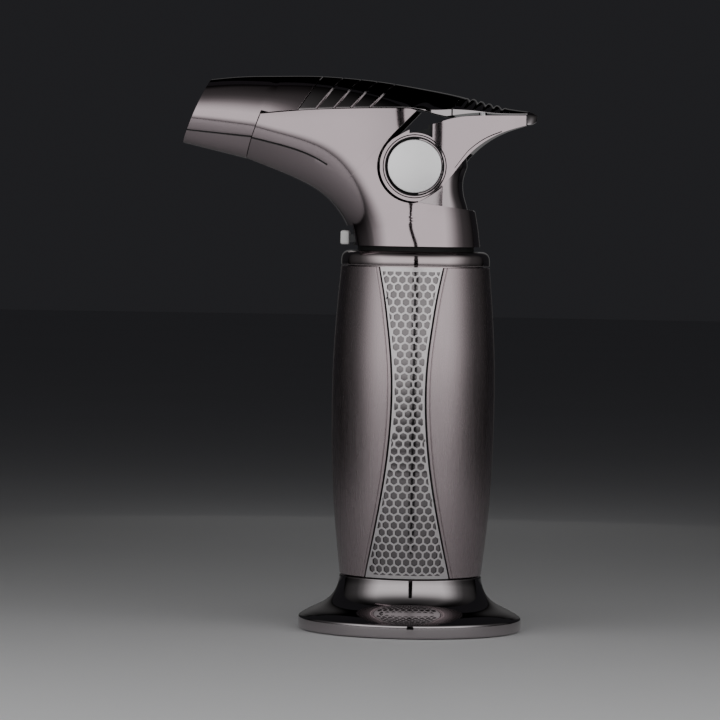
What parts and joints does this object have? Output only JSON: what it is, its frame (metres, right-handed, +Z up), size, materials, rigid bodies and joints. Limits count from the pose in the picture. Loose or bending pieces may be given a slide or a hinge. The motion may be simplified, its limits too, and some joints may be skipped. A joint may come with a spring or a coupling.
{
  "type": "butane torch",
  "caption": "Free-standing hand torch: flared round base, barrel handle with honeycomb panels, upward-tilted nozzle, thumb lever with round pivot caps and flame adjuster.",
  "frame": {"origin": "centre of the base's underside, on the handle's axis", "axes": "+Z up along the handle, the nozzle points to -X and the thumb lever to +X, +Y to the back as seen with the nozzle at the left"},
  "size_m": [0.0982, 0.062, 0.1531],
  "materials": {
    "gunmetal": "semi-gloss dark plated zinc",
    "polished": "mirror-polished dark plating",
    "satin": "satin dark plating",
    "lattice": "satin silver honeycomb over dark cells",
    "core": "drawn",
    "satin_silver": "satin",
    "steel": "bright",
    "brass": "turned",
    "black_plastic": "moulded",
    "white_plastic": "moulded",
    "ceramic": "fired",
    "rubber": "matt",
    "tank_nylon": "moulded nylon",
    "hose_nylon": "drawn tube",
    "lead_jacket": "silicone jacket"
  },
  "bodies": {
    "torch": {"base_disc": "polished", "foot_pad": "rubber", "base_screw": "steel", "handle_core": "core", "grip_aft": "satin", "grip_fore": "satin", "honeycomb_front": "lattice", "honeycomb_back": "lattice", "collar_ring": "gunmetal", "collar_seal": "rubber", "fuel_tank": "tank_nylon", "refill_valve_body": "brass", "refill_spring": "steel", "outlet_valve_body": "brass", "hose_boot": "rubber", "gas_hose": "hose_nylon", "housing_front": "gunmetal", "housing_back": "gunmetal", "barrel_screw": "steel", "neck_screw": "steel", "nozzle_shroud": "gunmetal", "spine_cover": "gunmetal", "mechanism_frame": "polished", "piezo_case": "black_plastic", "piezo_spring": "steel", "crank_pin": "steel", "jet_holder": "brass", "mixing_tube": "brass", "burner_clamp": "black_plastic", "burner_head": "brass", "burner_tube": "steel", "flame_grid": "brass", "electrode_insulator": "ceramic", "electrode": "steel", "ignition_lead": "lead_jacket"},
    "trigger": {"trigger_lever": "gunmetal", "thumb_rest": "gunmetal", "thumb_rest_screw": "steel", "trigger_cam": "black_plastic", "pivot_pin": "steel", "pivot_cap_front": "satin_silver", "pivot_cap_back": "satin_silver"},
    "igniter_plunger": {"piezo_plunger": "white_plastic"},
    "gas_lever": {"gas_crank": "steel"},
    "outlet_stem": {"outlet_valve_stem": "brass"},
    "adjuster": {"flame_adjuster": "black_plastic", "adjuster_knob": "white_plastic"},
    "refill_stem": {"refill_valve_stem": "brass"}
  },
  "joints": [
    {"name": "trigger_hinge", "type": "hinge", "parent": "torch", "child": "trigger", "pos_m": [0, 0, 0.1284], "axis": [0, 1, 0], "range_deg": [0, 16], "stiffness_Nm_per_rad": 1.2, "springref_deg": -8.59},
    {"name": "igniter_slide", "type": "slide", "parent": "torch", "child": "igniter_plunger", "axis": [0, 0, -1], "range_m": [0, 0.0026], "deforming": ["piezo_spring"]},
    {"name": "gas_lever_hinge", "type": "hinge", "parent": "torch", "child": "gas_lever", "pos_m": [-0.006, 0, 0.112], "axis": [0, 1, 0], "range_deg": [-17.5, 0]},
    {"name": "outlet_stem_slide", "type": "slide", "parent": "torch", "child": "outlet_stem", "axis": [0, 0, 1], "range_m": [0, 0.002]},
    {"name": "flame_adjuster_swing", "type": "hinge", "parent": "torch", "child": "adjuster", "pos_m": [0, 0, 0.1068], "axis": [0, 0, 1], "range_deg": [-18, 18]},
    {"name": "refill_stem_slide", "type": "slide", "parent": "torch", "child": "refill_stem", "axis": [0, 0, 1], "range_m": [0, 0.0015], "stiffness_N_per_m": 500, "springref_m": -0.001, "deforming": ["refill_spring"]}
  ],
  "couplings": [
    {"joint": "igniter_slide", "follows": "trigger_hinge", "m_per_rad": 0.0093},
    {"joint": "gas_lever_hinge", "follows": "trigger_hinge", "ratio": -1.09},
    {"joint": "outlet_stem_slide", "follows": "trigger_hinge", "m_per_rad": 0.00715}
  ]
}
